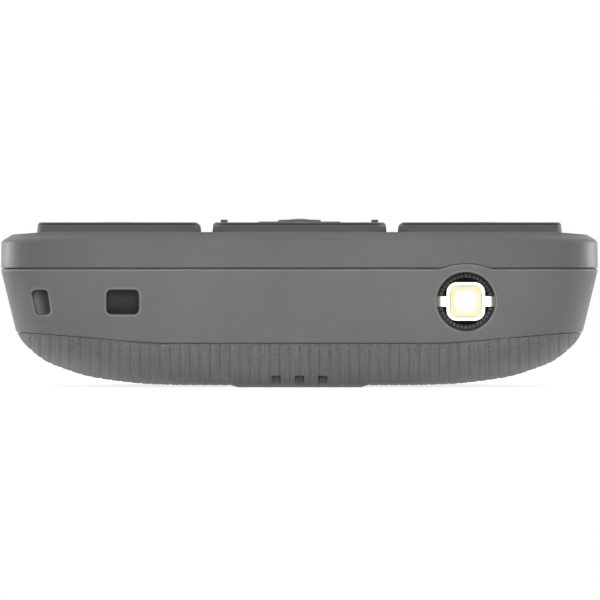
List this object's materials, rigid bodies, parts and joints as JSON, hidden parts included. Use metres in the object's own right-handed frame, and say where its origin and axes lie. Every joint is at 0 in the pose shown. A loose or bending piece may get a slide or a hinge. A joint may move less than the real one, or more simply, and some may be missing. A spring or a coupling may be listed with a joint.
{
  "type": "feature phone",
  "caption": "Bar feature phone, lying face up: three-part grey casing, keypad, display, lift-off ribbed rear cover, torch and strap eye in the upper end.",
  "frame": {"origin": "on the table under the middle of the phone, at the level that its rear cover rests on", "axes": "+X to the reader's right, +Y towards the earpiece and the torch, +Z out of the display"},
  "size_m": [0.05, 0.118, 0.0143],
  "materials": {
    "band_grey": "satin moulded",
    "shell_grey": "fine matte moulded",
    "ribbed_grey": "fine lengthwise ribs",
    "key_grey": "soft matte",
    "window_glass": "clear, black masked edge",
    "black_tape": "matte",
    "tray_steel": "rolled",
    "panel_black": "glossy",
    "flex_amber": "smooth",
    "silicone_grey": "smooth",
    "dome_steel": "bright",
    "speaker_black": "matte",
    "foam_black": "foam",
    "mesh_black": "woven mesh",
    "can_steel": "bright",
    "bezel_black": "knurled",
    "lamp_white": "white moulded",
    "lamp_glow": "lit",
    "board_green": "solder mask",
    "contact_gold": "gold plated",
    "weight_metal": "sintered",
    "battery_can": "wrapped",
    "label_white": "blank label",
    "connector_black": "moulded",
    "antenna_copper": "plated",
    "socket_steel": "plated",
    "screw_black": "black oxide"
  },
  "bodies": {
    "casing": {"front_housing": "band_grey", "middle_housing": "shell_grey", "display_window": "window_glass", "window_adhesive": "black_tape", "display_tray": "tray_steel", "display_panel": "panel_black", "display_flex": "flex_amber", "key_mat": "silicone_grey", "key_domes": "dome_steel", "earpiece_receiver": "speaker_black", "earpiece_seal": "foam_black", "earpiece_mesh": "mesh_black", "loudspeaker": "speaker_black", "loudspeaker_seal": "foam_black", "microphone": "can_steel", "microphone_boot": "silicone_grey", "torch_bezel": "bezel_black", "torch_led": "lamp_white", "torch_emitter": "lamp_glow", "torch_board": "board_green", "torch_leads": "contact_gold", "vibration_motor": "can_steel", "battery_connector": "connector_black", "battery_contacts": "contact_gold", "main_board": "board_green", "sim_holders": "can_steel", "memory_card_holder": "can_steel", "shield_can": "can_steel", "antenna_carrier": "connector_black", "antenna": "antenna_copper", "headphone_socket": "connector_black", "charging_socket": "socket_steel", "case_screws": "screw_black"},
    "key_0": {"key_0": "key_grey"},
    "key_1": {"key_1": "key_grey"},
    "key_2": {"key_2": "key_grey"},
    "key_3": {"key_3": "key_grey"},
    "key_4": {"key_4": "key_grey"},
    "key_5": {"key_5": "key_grey"},
    "key_6": {"key_6": "key_grey"},
    "key_7": {"key_7": "key_grey"},
    "key_8": {"key_8": "key_grey"},
    "key_9": {"key_9": "key_grey"},
    "key_star": {"key_star": "key_grey"},
    "key_hash": {"key_hash": "key_grey"},
    "key_soft_left": {"key_soft_left": "key_grey"},
    "key_soft_right": {"key_soft_right": "key_grey"},
    "key_call": {"key_call": "key_grey"},
    "key_end": {"key_end": "key_grey"},
    "key_select": {"key_select": "key_grey"},
    "key_navigation": {"key_navigation": "key_grey"},
    "rear_cover": {"rear_cover": "ribbed_grey"},
    "battery": {"battery": "battery_can", "battery_label": "label_white"},
    "vibration_weight": {"vibration_weight": "weight_metal"}
  },
  "joints": [
    {"name": "key_0_press", "type": "slide", "parent": "casing", "child": "key_0", "axis": [0, 0, -1], "range_m": [0, 0.0004], "stiffness_N_per_m": 1500},
    {"name": "key_1_press", "type": "slide", "parent": "casing", "child": "key_1", "axis": [0, 0, -1], "range_m": [0, 0.0004], "stiffness_N_per_m": 1500},
    {"name": "key_2_press", "type": "slide", "parent": "casing", "child": "key_2", "axis": [0, 0, -1], "range_m": [0, 0.0004], "stiffness_N_per_m": 1500},
    {"name": "key_3_press", "type": "slide", "parent": "casing", "child": "key_3", "axis": [0, 0, -1], "range_m": [0, 0.0004], "stiffness_N_per_m": 1500},
    {"name": "key_4_press", "type": "slide", "parent": "casing", "child": "key_4", "axis": [0, 0, -1], "range_m": [0, 0.0004], "stiffness_N_per_m": 1500},
    {"name": "key_5_press", "type": "slide", "parent": "casing", "child": "key_5", "axis": [0, 0, -1], "range_m": [0, 0.0004], "stiffness_N_per_m": 1500},
    {"name": "key_6_press", "type": "slide", "parent": "casing", "child": "key_6", "axis": [0, 0, -1], "range_m": [0, 0.0004], "stiffness_N_per_m": 1500},
    {"name": "key_7_press", "type": "slide", "parent": "casing", "child": "key_7", "axis": [0, 0, -1], "range_m": [0, 0.0004], "stiffness_N_per_m": 1500},
    {"name": "key_8_press", "type": "slide", "parent": "casing", "child": "key_8", "axis": [0, 0, -1], "range_m": [0, 0.0004], "stiffness_N_per_m": 1500},
    {"name": "key_9_press", "type": "slide", "parent": "casing", "child": "key_9", "axis": [0, 0, -1], "range_m": [0, 0.0004], "stiffness_N_per_m": 1500},
    {"name": "key_star_press", "type": "slide", "parent": "casing", "child": "key_star", "axis": [0, 0, -1], "range_m": [0, 0.0004], "stiffness_N_per_m": 1500},
    {"name": "key_hash_press", "type": "slide", "parent": "casing", "child": "key_hash", "axis": [0, 0, -1], "range_m": [0, 0.0004], "stiffness_N_per_m": 1500},
    {"name": "key_soft_left_press", "type": "slide", "parent": "casing", "child": "key_soft_left", "axis": [0, 0, -1], "range_m": [0, 0.0004], "stiffness_N_per_m": 1500},
    {"name": "key_soft_right_press", "type": "slide", "parent": "casing", "child": "key_soft_right", "axis": [0, 0, -1], "range_m": [0, 0.0004], "stiffness_N_per_m": 1500},
    {"name": "key_call_press", "type": "slide", "parent": "casing", "child": "key_call", "axis": [0, 0, -1], "range_m": [0, 0.0004], "stiffness_N_per_m": 1500},
    {"name": "key_end_press", "type": "slide", "parent": "casing", "child": "key_end", "axis": [0, 0, -1], "range_m": [0, 0.0004], "stiffness_N_per_m": 1500},
    {"name": "key_select_press", "type": "slide", "parent": "casing", "child": "key_select", "axis": [0, 0, -1], "range_m": [0, 0.00035], "stiffness_N_per_m": 1500},
    {"name": "key_navigation_rock", "type": "hinge", "parent": "casing", "child": "key_navigation", "pos_m": [0, -0.0065, 0.0114], "axis": [1, 0, 0], "range_deg": [-2, 2], "stiffness_Nm_per_rad": 0.05},
    {"name": "rear_cover_lift", "type": "slide", "parent": "casing", "child": "rear_cover", "axis": [0, 0, -1], "range_m": [0, 0.04]},
    {"name": "battery_lift", "type": "slide", "parent": "casing", "child": "battery", "axis": [0, 0, -1], "range_m": [0, 0.02]},
    {"name": "vibration_spin", "type": "hinge", "parent": "casing", "child": "vibration_weight", "pos_m": [0.018, 0.0474, 0.0049], "axis": [1, 0, 0], "continuous": true}
  ],
  "couplings": [
    {"joint": "battery_lift", "follows": "rear_cover_lift", "ratio": 0.5}
  ]
}
